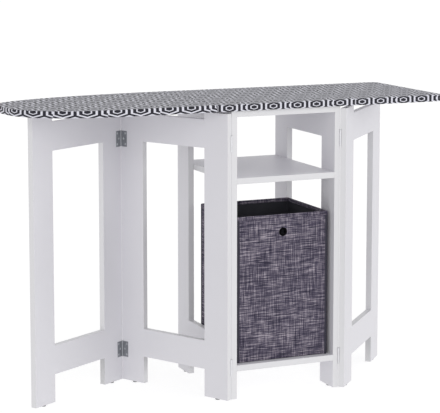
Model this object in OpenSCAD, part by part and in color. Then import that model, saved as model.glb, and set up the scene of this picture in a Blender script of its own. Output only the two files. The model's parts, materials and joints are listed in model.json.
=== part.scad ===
// Gate-leg ironing table: an open shelf cabinet in the middle, a folding pair of gates on its left,
// a single gate on its right, and a board in three sections that the gates carry.
// Millimetres, +Z up, +X along the board, front towards -Y. The origin is on the floor, under the
// middle of the table as it stands open.

/* [Cabinet] */
// Width over both side frames
cab_w = 350; // [280:1:460]
// Depth of the side frames
cab_d = 405; // [360:1:480]
// Height of the board's underside above the floor
board_under_z = 850; // [800:1:920]
// Thickness of every white panel
panel_t = 18; // [16:1:22]
// Width of the upright stiles of frames and gates
stile_w = 85; // [60:1:100]
// Height of the side frames' top rail
side_rail_h = 98; // [60:1:120]
// Height of the lower rails of frames and gates
low_rail_h = 85; // [50:1:110]
// Lower rails' lower edge above the floor
low_rail_z = 86; // [70:1:120]
// Top of the middle shelf above the floor
mid_shelf_z = 655; // [590:1:700]

/* [Gates] */
// How much shorter the left inner gate is than the side frames
inner_gate_short = 3; // [0:1:40]
// How much shorter the left outer gate is than the side frames
outer_gate_short = 7; // [5:1:45]
// How much shorter the right gate is than the side frames
right_gate_short = 1; // [0:1:40]
// How far the left inner gate stands open, in degrees
left_swing = 28.5; // [10:0.5:45]
// Angle between the two left gates, in degrees
fold_open = 87.5; // [60:0.5:110]
// How far the right gate stands open, in degrees
right_swing = 43; // [20:0.5:60]
// Drop of the gates' top rail below the board
gate_rail_drop = 28; // [20:1:50]
// Height of the gates' top rail
gate_rail_h = 83; // [50:1:110]
// Drop below the board of the stile next to the post
near_stile_drop = 7; // [4:0.5:12]
// Running gap between a gate's horn and the board
horn_gap = 0.3; // [0.2:0.1:0.8]

/* [Board] */
// Reach of the nose beyond the cabinet's left side
nose_reach = 620; // [560:1:700]
// Reach of the right end beyond the cabinet's right side
right_reach = 345; // [320:1:420]
// Overhang of the board in front of the cabinet
front_overhang = 8; // [2:1:40]
// Overhang of the board behind the cabinet
back_overhang = 12; // [2:1:40]
// Thickness of the wooden core
core_t = 16; // [14:1:22]
// Thickness of the felt pad
pad_t = 3; // [2:0.5:6]
// Thickness of the fabric cover
cover_t = 1; // [0.8:0.1:1.5]
// Gap between two sections of the board
section_gap = 2; // [1.6:0.1:4]
// Room for the left flap to hang outside the folded gates
left_flap_clear = 11.1; // [3:0.1:20]
// Room for the right flap to hang outside the folded gate
right_flap_clear = 24.8; // [3:0.1:40]
// Distance from the front edge to the tip of the nose
nose_tip_y = 262; // [200:1:300]
// Length over which the front edge curves into the tip
nose_front_len = 400; // [100:1:450]
// Power of the front curve: 2 is an ellipse, more is squarer
nose_front_power = 3; // [2:0.1:4]
// Straight part of the left flap's back edge, next to the joint
back_straight = 4; // [0:1:150]
// Radius of the two right-hand corners
end_corner_r = 18; // [5:1:60]

/* [Hinges] */
// Height of every hinge
hinge_h = 48; // [40:1:60]
// Width of one hinge leaf
hinge_leaf_w = 20; // [18:1:28]
// Thickness of a hinge leaf
hinge_leaf_t = 1.5; // [1.2:0.1:2]
// Radius of the knuckles
knuckle_r = 3; // [2.8:0.1:3.2]
// Radius of the hinge pins
pin_r = 1.5; // [1.2:0.1:1.8]
// Centre of the lower hinges above the floor
low_hinge_z = 99; // [90:1:130]
// Centre of the upper post hinges below the board
top_hinge_drop = 95; // [80:1:200]
// Centre of the upper fold hinges below the board
fold_hinge_drop = 108; // [80:1:200]
// Flap hinges' distance from the board's front and back edge
flap_hinge_inset = 75; // [60:1:120]

/* [Fasteners] */
// Shank radius of the wood screws
screw_r = 1.75; // [1.5:0.05:2]
// Head radius of the wood screws
screw_head_r = 3.4; // [3:0.1:4]
// Length of the hinge screws
hinge_screw_len = 14; // [10:0.5:15]
// Length of the flap hinge screws
flap_screw_len = 12; // [8:0.5:13]
// Length of the screws that hold the board on the top panel
board_screw_len = 30; // [24:1:32]
// Radius of the dowels
dowel_r = 4; // [3:0.5:5]
// Length of the dowels
dowel_len = 30; // [24:1:36]
// Depth of dowels and bolts in the side frames
frame_bore = 11; // [8:0.5:13]
// Radius of the cam locks
cam_r = 7.5; // [6:0.5:9]
// Height of the cam locks
cam_h = 12.5; // [10:0.5:13.5]
// Distance from a panel's end to its cam locks
cam_from_end = 34; // [24:1:40]
// Radius of the connecting bolts
bolt_r = 3; // [2.5:0.1:3.5]

/* [Feet] */
// Height of the glides
glide_h = 4; // [3:0.5:8]
// Radius of the glides
glide_r = 7.5; // [6:0.5:9]
// Radius of a glide's nail
nail_r = 1.2; // [1:0.1:1.6]
// Length of a glide's nail
nail_len = 14; // [10:1:20]

/* [Basket] */
// Depth of the basket
basket_d = 269; // [200:1:340]
// Height of the basket
basket_h = 432; // [300:1:440]
// Gap between the basket and each side frame
basket_gap = 9.8; // [2:0.2:14]
// Distance of the basket's front behind the cabinet's front
basket_setback = 21; // [5:1:40]
// Thickness of the basket's outer fabric
shell_t = 1.2; // [1:0.1:2]
// Thickness of the boards in its walls
stiffener_t = 2; // [1.5:0.1:3]
// Thickness of its lining
lining_t = 0.8; // [0.6:0.1:1.2]
// Thickness of its base board
base_t = 3; // [2:0.5:5]
// Height of the binding round the rim
binding_h = 10; // [6:1:16]
// Thickness of the binding
binding_t = 0.8; // [0.5:0.1:1.2]
// Centre of the eyelet below the rim
eyelet_drop = 51.5; // [35:0.5:100]
// Outer radius of the eyelet's rings
eyelet_r = 13; // [10:0.5:16]
// Radius of the hole through the eyelet
eyelet_hole_r = 7; // [5:0.5:8]
// Thickness of the eyelet's rings
eyelet_t = 1; // [0.8:0.1:1.5]

/* [Hidden] */

// Clearances
fit = 0.05;           // between a pin, dowel or screw and its hole
stand_gap = 0.3;      // between the basket and the shelf that it stands on
axis_step = 0.1;      // from a gate hinge's axis to the faces and edges of its two panels
leaf_play = 0.35;     // from the middle plane of a closed gate hinge to each leaf
knuckle_play = 0.3;   // round and between the knuckles
flap_set = 0.2;       // how far the flap hinges lie above the board's underside
knuckle_room = 0.5;   // round the knuckles in their pockets
bevel_clear = 0.2;    // between the bevels of two sections when a flap hangs down
cut = 1;              // how far a cutter runs past the face that it opens

// Colours
white = "#d8d8dc";
steel = "#8c8f94";
zinc = "#b9bcc2";
beech = "#d9b98a";
fibreboard = "#b8925f";
felt = "#dcdad2";
print = "#8a8a92";
weave = "#66636f";
dark = "#2b2b30";
black = "#151517";
$fn = 32;

// Cabinet
inner_w = cab_w - 2 * panel_t;
low_shelf_top = low_rail_z + panel_t;
window_bottom = low_rail_z + low_rail_h;
window_l = cab_d - 2 * stile_w;
inner_gate_len = cab_d - inner_gate_short;
outer_gate_len = cab_d - outer_gate_short;
right_gate_len = cab_d - right_gate_short;

// Hinges: the gates' leaves are let into the panels, and plate_y is from a pin's axis to a leaf's plate
plate_y = knuckle_r + knuckle_play;
gate_gap = 2 * axis_step;
knuckle_count = 5;
knuckle_len = hinge_h / knuckle_count;
pin_head_r = knuckle_r - 0.3;
pin_head_h = 1.2;
post_hinges = [low_hinge_z, board_under_z - top_hinge_drop];
fold_hinges = [low_hinge_z, board_under_z - fold_hinge_drop];
screw_row = 0.34 * hinge_h;       // height of the outer screws above and below the hinge's centre
screw_near = 0.32 * hinge_leaf_w; // the middle screw's distance from the plate's near edge
screw_far = 0.68 * hinge_leaf_w;  // the outer screws' distance from the plate's near edge
slot_t = 0.7;                     // width of the cross slot in a screw's head
slot_l = 1.2 * screw_head_r;
slot_depth = 0.8;
screw_tip = 2;

// Board: the cover is the outermost skin, and the pad and core lie cover_t inside it
core_top = board_under_z + core_t;
pad_top = core_top + pad_t;
board_top = pad_top + cover_t;
near_y = -front_overhang;
far_y = cab_d + back_overhang;
tip_x = -nose_reach;
tip_y = near_y + nose_tip_y;
end_x = cab_w + right_reach;
left_joint_x = -(2 * (panel_t + gate_gap) + left_flap_clear);
right_joint_x = cab_w + panel_t + gate_gap + right_flap_clear;
half_gap = section_gap / 2;
joint_hinge_y = [near_y + flap_hinge_inset, far_y - flap_hinge_inset];
flap_plate_x = -knuckle_r;        // the flap hinges' leaves lie level with their knuckles' lowest line
joint_axis_z = board_under_z + flap_set + knuckle_r;
joint_bevel = flap_set + knuckle_r - half_gap + bevel_clear; // lets a flap hang down at a right angle
nose_back_len = left_joint_x - half_gap - back_straight - tip_x;

// Fasteners
dowel_inset = 28; // from the front or back edge of a panel
bolt_inset = 60;
bolt_head_r = bolt_r + 0.8;
cam_slack = 0.1;
board_screw_spread = 0.3 * inner_w;

// Basket
basket_w = inner_w - 2 * basket_gap;
basket_x = panel_t + basket_gap;
basket_z = low_shelf_top + stand_gap;
basket_top = basket_z + basket_h;
wall_t = shell_t + stiffener_t + lining_t;
basket_floor = basket_z + shell_t + base_t;
eyelet_z = basket_top - eyelet_drop;
barrel_r = eyelet_hole_r + 1.2;

// ---- Placing ----

// The foremost point of a gate that stands open at an angle
function gate_front(swing) = axis_step * (cos(swing) - 1) - (axis_step + panel_t) * sin(swing);

front_y = min(near_y, gate_front(left_swing), gate_front(right_swing));

// Moves the cabinet's front left corner so that the table's middle stands over the origin
module placed() {
    translate([-(tip_x + end_x) / 2, -(front_y + far_y) / 2, 0]) children();
}

// Mirrors what belongs to the cabinet's left side over to its right side
module right_hand() {
    translate([cab_w, 0, 0]) mirror([1, 0, 0]) children();
}

module both_hands() {
    children();
    right_hand() children();
}

// Each hinge frame has its pin along Z and its leaves towards +Y. What stands still is on the +X side.
module left_post_frame() {
    translate([-axis_step, -axis_step, 0]) children();
}

module right_post_frame() {
    translate([cab_w + axis_step, -axis_step, 0]) mirror([1, 0, 0]) children();
}

module inner_gate_frame() {
    left_post_frame() rotate([0, 0, left_swing]) children();
}

module fold_frame() {
    inner_gate_frame()
        translate([-gate_gap - panel_t, inner_gate_len + gate_gap, 0])
        mirror([0, 1, 0]) children();
}

module outer_gate_frame() {
    fold_frame() rotate([0, 0, fold_open]) children();
}

module right_gate_frame() {
    right_post_frame() rotate([0, 0, right_swing]) children();
}

// The flap hinges lie flat under the board: pin along Y, leaves below, the section above them.
// side is 1 for the section on the joint's +X side and -1 for the one on its -X side.
module joint_frame(joint_x, side) {
    for (y = joint_hinge_y)
        translate([joint_x, y - hinge_h / 2, joint_axis_z])
        rotate([0, -90, -90]) mirror([0, (1 - side) / 2, 0]) children();
}

// ---- Fasteners ----

// Countersunk wood screw along +Z, its head's face at z = 0
module wood_screw(len) {
    head_h = screw_head_r - screw_r;
    difference() {
        union() {
            cylinder(h = head_h, r1 = screw_head_r - fit, r2 = screw_r - fit);
            cylinder(h = len - screw_tip, r = screw_r - fit);
            translate([0, 0, len - screw_tip]) cylinder(h = screw_tip, r1 = screw_r - fit, r2 = 0.5);
        }
        for (turn = [0, 90])
            rotate([0, 0, turn])
            translate([-slot_l / 2, -slot_t / 2, -cut])
            cube([slot_l, slot_t, slot_depth + cut]);
    }
}

// The hole that a wood screw sits in, open at z = 0
module screw_hole(len) {
    head_h = screw_head_r - screw_r;
    cylinder(h = head_h, r1 = screw_head_r, r2 = screw_r);
    translate([0, 0, -cut]) cylinder(h = cut, r = screw_head_r);
    cylinder(h = len + fit, r = screw_r);
}

// Places children at the three screws of the leaf on the +X side, pointing into the panel
module leaf_screw_places(plate_x) {
    for (row = [-1, 0, 1])
        translate([plate_x, plate_y + (row == 0 ? screw_near : screw_far), hinge_h / 2 + row * screw_row])
        rotate([0, 90, 0]) children();
}

// ---- Hinges ----

// One leaf with its own knuckles, on the +X side of the pin, from z = 0 up.
// plate_x is the plate's near face, first the lowest knuckle that is its own.
module hinge_leaf(plate_x, first) {
    difference() {
        union() {
            translate([plate_x, plate_y, 0]) cube([hinge_leaf_t, hinge_leaf_w, hinge_h]);
            for (i = [first : 2 : knuckle_count - 1])
                translate([0, 0, i * knuckle_len + knuckle_play / 2]) {
                    cylinder(h = knuckle_len - knuckle_play, r = knuckle_r);
                    translate([plate_x, 0, 0])
                        cube([hinge_leaf_t, plate_y + 0.5, knuckle_len - knuckle_play]);
                }
        }
        translate([0, 0, -cut]) cylinder(h = hinge_h + 2 * cut, r = pin_r + fit);
        leaf_screw_places(plate_x) screw_hole(hinge_screw_len);
    }
}

// Space in a panel on the +X side of the pin: a recess that lets the leaf in flush with the panel's
// face, a pocket for the knuckles and the pin's head, and the screw holes
module leaf_recess() {
    depth = leaf_play + hinge_leaf_t + fit - axis_step;
    reach = plate_y + hinge_leaf_w + fit;
    translate([axis_step - cut, -cut, -fit]) cube([depth + cut, reach + cut, hinge_h + 2 * fit]);
    translate([0, 0, -knuckle_room])
        cylinder(h = hinge_h + pin_head_h + 2 * knuckle_room, r = knuckle_r + knuckle_room);
    leaf_screw_places(leaf_play) screw_hole(hinge_screw_len);
}

module moving_leaf(plate_x) {
    mirror([1, 0, 0]) hinge_leaf(plate_x, 1);
}

// Pin with a small head on top
module hinge_pin() {
    cylinder(h = hinge_h, r = pin_r);
    translate([0, 0, hinge_h]) cylinder(h = pin_head_h, r = pin_head_r);
}

module leaf_screws(plate_x, len) {
    leaf_screw_places(plate_x) wood_screw(len);
}

// Lowers children to the foot of each hinge whose centre height is listed
module hinge_heights(centres) {
    for (z = centres) translate([0, 0, z - hinge_h / 2]) children();
}

// ---- Feet ----

// Glide with its nail, standing on the floor
module glide() {
    cylinder(h = glide_h / 2, r1 = glide_r - 1, r2 = glide_r);
    translate([0, 0, glide_h / 2]) cylinder(h = glide_h / 2, r = glide_r);
    translate([0, 0, glide_h]) cylinder(h = nail_len, r = nail_r);
}

module nail_hole() {
    translate([0, 0, glide_h - cut]) cylinder(h = nail_len + cut + fit, r = nail_r + fit);
}

// ---- Cabinet ----

module frame_feet() {
    for (y = [stile_w / 2, cab_d - stile_w / 2]) translate([panel_t / 2, y, 0]) children();
}

// Places children at the panel's fixings in one side frame, pointing along +X out of its inner face
module fixing_places(inset) {
    for (z = [low_rail_z, mid_shelf_z - panel_t, board_under_z - panel_t])
        for (y = [inset, cab_d - inset])
            translate([panel_t, y, z + panel_t / 2]) rotate([0, 90, 0]) children();
}

// Side frame with its outer face at x = 0: window, feet, and bores for the fixings
module side_frame() {
    difference() {
        translate([0, 0, glide_h]) cube([panel_t, cab_d, board_under_z - glide_h]);
        translate([-cut, stile_w, window_bottom])
            cube([panel_t + 2 * cut, window_l, board_under_z - side_rail_h - window_bottom]);
        translate([-cut, stile_w, glide_h - cut])
            cube([panel_t + 2 * cut, window_l, low_rail_z - glide_h + cut]);
        fixing_places(dowel_inset)
            translate([0, 0, -frame_bore]) cylinder(h = frame_bore + cut, r = dowel_r + fit);
        fixing_places(bolt_inset)
            translate([0, 0, -frame_bore]) cylinder(h = frame_bore + cut, r = bolt_r + fit);
        frame_feet() nail_hole();
        left_post_frame() hinge_heights(post_hinges) leaf_recess();
    }
}

module left_side_frame() {
    color(white) placed() side_frame();
}

module right_side_frame() {
    color(white) placed() right_hand() side_frame();
}

// A panel between the side frames, its underside at z, with the bores for its fixings
module panel(z) {
    difference() {
        translate([panel_t, 0, z]) cube([inner_w, cab_d, panel_t]);
        both_hands() panel_bores();
    }
}

module panel_bores() {
    fixing_places(dowel_inset) cylinder(h = dowel_len - frame_bore + fit, r = dowel_r + fit);
    fixing_places(bolt_inset) cylinder(h = cam_from_end, r = bolt_head_r + fit);
    cam_places() translate([0, 0, -cut]) cylinder(h = cam_h + cut + fit, r = cam_r + fit);
}

// Places children at the cam locks on the left, on the undersides of the panels
module cam_places() {
    for (z = [low_rail_z, mid_shelf_z - panel_t, board_under_z - panel_t])
        for (y = [bolt_inset, cab_d - bolt_inset])
            translate([panel_t + cam_from_end, y, z]) children();
}

module board_screw_places() {
    for (x = [-1, 1])
        for (y = [bolt_inset, cab_d - bolt_inset])
            translate([cab_w / 2 + x * board_screw_spread, y, board_under_z - panel_t]) children();
}

module top_panel() {
    color(white) placed() difference() {
        panel(board_under_z - panel_t);
        board_screw_places() screw_hole(board_screw_len);
    }
}

module middle_shelf() {
    color(white) placed() panel(mid_shelf_z - panel_t);
}

module bottom_shelf() {
    color(white) placed() panel(low_rail_z);
}

module dowels() {
    color(beech) placed() both_hands() fixing_places(dowel_inset)
        translate([0, 0, -frame_bore]) cylinder(h = dowel_len, r = dowel_r);
}

// Bolt screwed into the side frame, its collar against the frame and its head in the cam lock
module connecting_bolt() {
    translate([0, 0, -frame_bore]) cylinder(h = frame_bore + cam_from_end - cam_slack, r = bolt_r);
    cylinder(h = 2, r = bolt_head_r);
    translate([0, 0, cam_from_end - 4]) cylinder(h = 4 - cam_slack, r = bolt_head_r);
}

module connecting_bolts() {
    color(zinc) placed() both_hands() fixing_places(bolt_inset) connecting_bolt();
}

// Round cam lock with the pocket that takes the bolt's head and the slot for a screwdriver
module cam_lock() {
    difference() {
        cylinder(h = cam_h, r = cam_r);
        translate([-cam_r - cut, 0, panel_t / 2]) rotate([0, 90, 0])
            cylinder(h = cam_r + cut + fit, r = bolt_head_r + fit);
        translate([-cam_r * 0.7, -0.6, -cut]) cube([cam_r * 1.4, 1.2, 1.5 + cut]);
    }
}

module cam_locks() {
    color(zinc) placed() both_hands() cam_places() cam_lock();
}

module cabinet_glides() {
    color(dark) placed() both_hands() frame_feet() glide();
}

// ---- Gates ----

// Feet of a gate, in the frame of the hinge at its near end
module gate_feet(len) {
    for (y = [stile_w / 2, len - stile_w / 2])
        translate([-axis_step - panel_t / 2, axis_step + y, 0]) children();
}

// A gate on the -X side of its pin: two stiles, two rails, and the tops of the stiles as horns.
// near_drop and far_drop are how far below the board the two horns end.
module gate(len, near_drop, far_drop) {
    rail_top = board_under_z - gate_rail_drop;
    window_w = len - 2 * stile_w;
    translate([-axis_step - panel_t, axis_step, 0]) difference() {
        translate([0, 0, glide_h]) cube([panel_t, len, board_under_z - glide_h]);
        translate([-cut, stile_w, glide_h - cut])
            cube([panel_t + 2 * cut, window_w, low_rail_z - glide_h + cut]);
        translate([-cut, stile_w, window_bottom])
            cube([panel_t + 2 * cut, window_w, rail_top - gate_rail_h - window_bottom]);
        translate([-cut, stile_w, rail_top])
            cube([panel_t + 2 * cut, window_w, gate_rail_drop + cut]);
        translate([-cut, -cut, board_under_z - near_drop])
            cube([panel_t + 2 * cut, stile_w + 2 * cut, near_drop + cut]);
        translate([-cut, len - stile_w - cut, board_under_z - far_drop])
            cube([panel_t + 2 * cut, stile_w + 2 * cut, far_drop + cut]);
    }
}

// Recesses of the moving leaves at a gate's near end
module near_recesses(centres) {
    mirror([1, 0, 0]) hinge_heights(centres) leaf_recess();
}

module left_inner_gate() {
    color(white) placed() difference() {
        inner_gate_frame() difference() {
            gate(inner_gate_len, near_stile_drop, horn_gap);
            near_recesses(post_hinges);
            gate_feet(inner_gate_len) nail_hole();
        }
        fold_frame() hinge_heights(fold_hinges) leaf_recess();
    }
}

module left_outer_gate() {
    color(white) placed() outer_gate_frame() difference() {
        gate(outer_gate_len, horn_gap, horn_gap);
        near_recesses(fold_hinges);
        gate_feet(outer_gate_len) nail_hole();
    }
}

module right_gate() {
    color(white) placed() right_gate_frame() difference() {
        gate(right_gate_len, near_stile_drop, horn_gap);
        near_recesses(post_hinges);
        gate_feet(right_gate_len) nail_hole();
    }
}

module left_inner_gate_glides() {
    color(dark) placed() inner_gate_frame() gate_feet(inner_gate_len) glide();
}

module left_outer_gate_glides() {
    color(dark) placed() outer_gate_frame() gate_feet(outer_gate_len) glide();
}

module right_gate_glides() {
    color(dark) placed() right_gate_frame() gate_feet(right_gate_len) glide();
}

// ---- Post and fold hinges ----

module left_post_hinge_leaves() {
    color(steel) placed() left_post_frame() hinge_heights(post_hinges) hinge_leaf(leaf_play, 0);
}

module left_post_hinge_pins() {
    color(zinc) placed() left_post_frame() hinge_heights(post_hinges) hinge_pin();
}

module left_post_hinge_screws() {
    color(zinc) placed() left_post_frame()
        hinge_heights(post_hinges) leaf_screws(leaf_play, hinge_screw_len);
}

module right_post_hinge_leaves() {
    color(steel) placed() right_post_frame() hinge_heights(post_hinges) hinge_leaf(leaf_play, 0);
}

module right_post_hinge_pins() {
    color(zinc) placed() right_post_frame() hinge_heights(post_hinges) hinge_pin();
}

module right_post_hinge_screws() {
    color(zinc) placed() right_post_frame()
        hinge_heights(post_hinges) leaf_screws(leaf_play, hinge_screw_len);
}

module left_inner_hinge_leaves() {
    color(steel) placed() inner_gate_frame() hinge_heights(post_hinges) moving_leaf(leaf_play);
}

module left_inner_hinge_screws() {
    color(zinc) placed() inner_gate_frame() mirror([1, 0, 0])
        hinge_heights(post_hinges) leaf_screws(leaf_play, hinge_screw_len);
}

module right_gate_hinge_leaves() {
    color(steel) placed() right_gate_frame() hinge_heights(post_hinges) moving_leaf(leaf_play);
}

module right_gate_hinge_screws() {
    color(zinc) placed() right_gate_frame() mirror([1, 0, 0])
        hinge_heights(post_hinges) leaf_screws(leaf_play, hinge_screw_len);
}

module fold_hinge_inner_leaves() {
    color(steel) placed() fold_frame() hinge_heights(fold_hinges) hinge_leaf(leaf_play, 0);
}

module fold_hinge_pins() {
    color(zinc) placed() fold_frame() hinge_heights(fold_hinges) hinge_pin();
}

module fold_hinge_inner_screws() {
    color(zinc) placed() fold_frame()
        hinge_heights(fold_hinges) leaf_screws(leaf_play, hinge_screw_len);
}

module fold_hinge_outer_leaves() {
    color(steel) placed() outer_gate_frame() hinge_heights(fold_hinges) moving_leaf(leaf_play);
}

module fold_hinge_outer_screws() {
    color(zinc) placed() outer_gate_frame() mirror([1, 0, 0])
        hinge_heights(fold_hinges) leaf_screws(leaf_play, hinge_screw_len);
}

// ---- Board ----

// The front curve of the nose, from the straight front edge (a = 0) to the tip (a = 90), drawn in by d
function nose_front(a, d) = [
    tip_x + d + (nose_front_len - d) * (1 - pow(sin(a), 2 / nose_front_power)),
    tip_y - (tip_y - near_y - d) * pow(cos(a), 2 / nose_front_power)
];

// The back curve, a quarter of an ellipse from the straight back edge (a = 0) to the tip (a = 90)
function nose_back(a, d) = [
    tip_x + d + (nose_back_len - d) * (1 - sin(a)),
    tip_y + (far_y - d - tip_y) * cos(a)
];

nose_steps = 26;

// Outline of the left flap, drawn in by d except at the joint, which is at x = joint
module left_outline(joint, d) {
    polygon(concat(
        [[joint, near_y + d]],
        [for (i = [0 : nose_steps]) nose_front(90 * i / nose_steps, d)],
        [for (i = [nose_steps - 1 : -1 : 0]) nose_back(90 * i / nose_steps, d)],
        [[joint, far_y - d]]
    ));
}

corner_steps = 6;

// Outline of the right flap with its two rounded corners
module right_outline(joint, d) {
    r = end_corner_r - d;
    x = end_x - end_corner_r;
    turns = [for (i = [0 : corner_steps]) 90 * i / corner_steps];
    polygon(concat(
        [[joint, far_y - d]],
        [for (a = turns) [x + r * sin(a), far_y - end_corner_r + r * cos(a)]],
        [for (a = turns) [x + r * cos(a), near_y + end_corner_r - r * sin(a)]],
        [[joint, near_y + d]]
    ));
}

module centre_outline(extra, d) {
    translate([left_joint_x + half_gap - extra, near_y + d])
        square([right_joint_x - left_joint_x - 2 * half_gap + 2 * extra, far_y - near_y - 2 * d]);
}

module left_flap_outline(extra, d) {
    left_outline(left_joint_x - half_gap + extra, d);
}

module right_flap_outline(extra, d) {
    right_outline(right_joint_x + half_gap - extra, d);
}

// The bevel along the lower edge of a section, on one side of a joint
module joint_bevel_cut(joint_x, side) {
    reach = joint_bevel + cut;
    translate([joint_x + side * half_gap, far_y + cut, board_under_z]) rotate([90, 0, 0])
        linear_extrude(far_y - near_y + 2 * cut)
        polygon([[-side * cut, -cut], [side * reach, -cut], [-side * cut, reach]]);
}

// Space in a core for the flap hinges on one side of a joint: a recess for the leaf, a pocket for
// the knuckles and the pin's head, the holes for the screws, and the bevel
module joint_space(joint_x, side) {
    low = flap_plate_x - flap_set - cut;
    pocket = knuckle_r + knuckle_room;
    joint_frame(joint_x, side) {
        translate([low, 0, -fit])
            cube([flap_plate_x + hinge_leaf_t - low, plate_y + hinge_leaf_w + fit, hinge_h + 2 * fit]);
        translate([low, 0, -knuckle_room])
            cube([pocket - low, pocket, hinge_h + pin_head_h + 2 * knuckle_room]);
        leaf_screw_places(flap_plate_x) screw_hole(flap_screw_len);
    }
    joint_bevel_cut(joint_x, side);
}

// A layer of the board between two heights. Its children are the layer's outline.
module layer(z_from, z_to) {
    translate([0, 0, z_from]) linear_extrude(z_to - z_from) children();
}

module centre_board() {
    color(white) placed() difference() {
        layer(board_under_z, core_top) centre_outline(0, cover_t);
        joint_space(left_joint_x, 1);
        joint_space(right_joint_x, -1);
        board_screw_places() screw_hole(board_screw_len);
    }
}

module centre_pad() {
    color(felt) placed() layer(core_top, pad_top) centre_outline(0, cover_t);
}

module centre_cover() {
    color(print) placed() difference() {
        layer(board_under_z, board_top) centre_outline(0, 0);
        layer(board_under_z - cut, pad_top) centre_outline(cut, cover_t);
        joint_bevel_cut(left_joint_x, 1);
        joint_bevel_cut(right_joint_x, -1);
    }
}

module board_screws() {
    color(zinc) placed() board_screw_places() wood_screw(board_screw_len);
}

module left_flap_board() {
    color(white) placed() difference() {
        layer(board_under_z, core_top) left_flap_outline(0, cover_t);
        joint_space(left_joint_x, -1);
    }
}

module left_flap_pad() {
    color(felt) placed() layer(core_top, pad_top) left_flap_outline(0, cover_t);
}

module left_flap_cover() {
    color(print) placed() difference() {
        layer(board_under_z, board_top) left_flap_outline(0, 0);
        layer(board_under_z - cut, pad_top) left_flap_outline(cut, cover_t);
        joint_bevel_cut(left_joint_x, -1);
    }
}

module right_flap_board() {
    color(white) placed() difference() {
        layer(board_under_z, core_top) right_flap_outline(0, cover_t);
        joint_space(right_joint_x, 1);
    }
}

module right_flap_pad() {
    color(felt) placed() layer(core_top, pad_top) right_flap_outline(0, cover_t);
}

module right_flap_cover() {
    color(print) placed() difference() {
        layer(board_under_z, board_top) right_flap_outline(0, 0);
        layer(board_under_z - cut, pad_top) right_flap_outline(cut, cover_t);
        joint_bevel_cut(right_joint_x, 1);
    }
}

// ---- Flap hinges ----

module left_joint_centre_leaves() {
    color(steel) placed() joint_frame(left_joint_x, 1) hinge_leaf(flap_plate_x, 0);
}

module left_joint_pins() {
    color(zinc) placed() joint_frame(left_joint_x, 1) hinge_pin();
}

module left_joint_centre_screws() {
    color(zinc) placed() joint_frame(left_joint_x, 1) leaf_screws(flap_plate_x, flap_screw_len);
}

module right_joint_centre_leaves() {
    color(steel) placed() joint_frame(right_joint_x, -1) hinge_leaf(flap_plate_x, 0);
}

module right_joint_pins() {
    color(zinc) placed() joint_frame(right_joint_x, -1) hinge_pin();
}

module right_joint_centre_screws() {
    color(zinc) placed() joint_frame(right_joint_x, -1) leaf_screws(flap_plate_x, flap_screw_len);
}

module left_flap_hinge_leaves() {
    color(steel) placed() joint_frame(left_joint_x, -1) hinge_leaf(flap_plate_x, 1);
}

module left_flap_hinge_screws() {
    color(zinc) placed() joint_frame(left_joint_x, -1) leaf_screws(flap_plate_x, flap_screw_len);
}

module right_flap_hinge_leaves() {
    color(steel) placed() joint_frame(right_joint_x, 1) hinge_leaf(flap_plate_x, 1);
}

module right_flap_hinge_screws() {
    color(zinc) placed() joint_frame(right_joint_x, 1) leaf_screws(flap_plate_x, flap_screw_len);
}

// ---- Basket ----

// A block with the basket's plan drawn in by inset, between two heights
module basket_block(inset, z_from, z_to) {
    translate([basket_x + inset, basket_setback + inset, z_from])
        cube([basket_w - 2 * inset, basket_d - 2 * inset, z_to - z_from]);
}

// Places children at the eyelet, pointing back into the basket from its front
module eyelet_place() {
    translate([cab_w / 2, basket_setback, eyelet_z]) rotate([-90, 0, 0]) children();
}

module eyelet_bore() {
    eyelet_place() translate([0, 0, -cut]) cylinder(h = wall_t + 2 * cut, r = barrel_r + fit);
}

module basket_shell() {
    color(weave) placed() difference() {
        basket_block(0, basket_z, basket_top);
        basket_block(shell_t, basket_z + shell_t, basket_top + cut);
        eyelet_bore();
    }
}

module basket_base_board() {
    color(fibreboard) placed() basket_block(shell_t, basket_z + shell_t, basket_floor);
}

// Four boards standing on the base board, the two long ones between the two short ones
module basket_stiffeners() {
    side_y = basket_setback + shell_t;
    color(fibreboard) placed() {
        difference() {
            for (x = [shell_t, basket_w - shell_t - stiffener_t])
                translate([basket_x + x, side_y, basket_floor])
                cube([stiffener_t, basket_d - 2 * shell_t, basket_top - basket_floor]);
            eyelet_bore();
        }
        difference() {
            for (y = [shell_t, basket_d - shell_t - stiffener_t])
                translate([basket_x + shell_t + stiffener_t, basket_setback + y, basket_floor])
                cube([basket_w - 2 * (shell_t + stiffener_t), stiffener_t, basket_top - basket_floor]);
            eyelet_bore();
        }
    }
}

module basket_lining() {
    color(dark) placed() difference() {
        basket_block(shell_t + stiffener_t, basket_floor, basket_top);
        basket_block(wall_t, basket_floor + lining_t, basket_top + cut);
        eyelet_bore();
    }
}

// Binding folded over the rim, outside, on top and inside
module basket_binding() {
    foot = basket_top - binding_h;
    color(dark) placed() difference() {
        basket_block(-binding_t, foot, basket_top + binding_t);
        basket_block(wall_t + binding_t, foot - cut, basket_top + binding_t + cut);
        difference() {
            basket_block(0, foot - cut, basket_top);
            basket_block(wall_t, foot - 2 * cut, basket_top + cut);
        }
    }
}

// Two rings and the barrel between them, with a hole for a finger
module basket_eyelet() {
    color(black) placed() eyelet_place() difference() {
        union() {
            translate([0, 0, -eyelet_t]) cylinder(h = eyelet_t, r = eyelet_r);
            cylinder(h = wall_t, r = barrel_r);
            translate([0, 0, wall_t]) cylinder(h = eyelet_t, r = eyelet_r);
        }
        translate([0, 0, -eyelet_t - cut]) cylinder(h = wall_t + 2 * eyelet_t + 2 * cut, r = eyelet_hole_r);
    }
}

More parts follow.
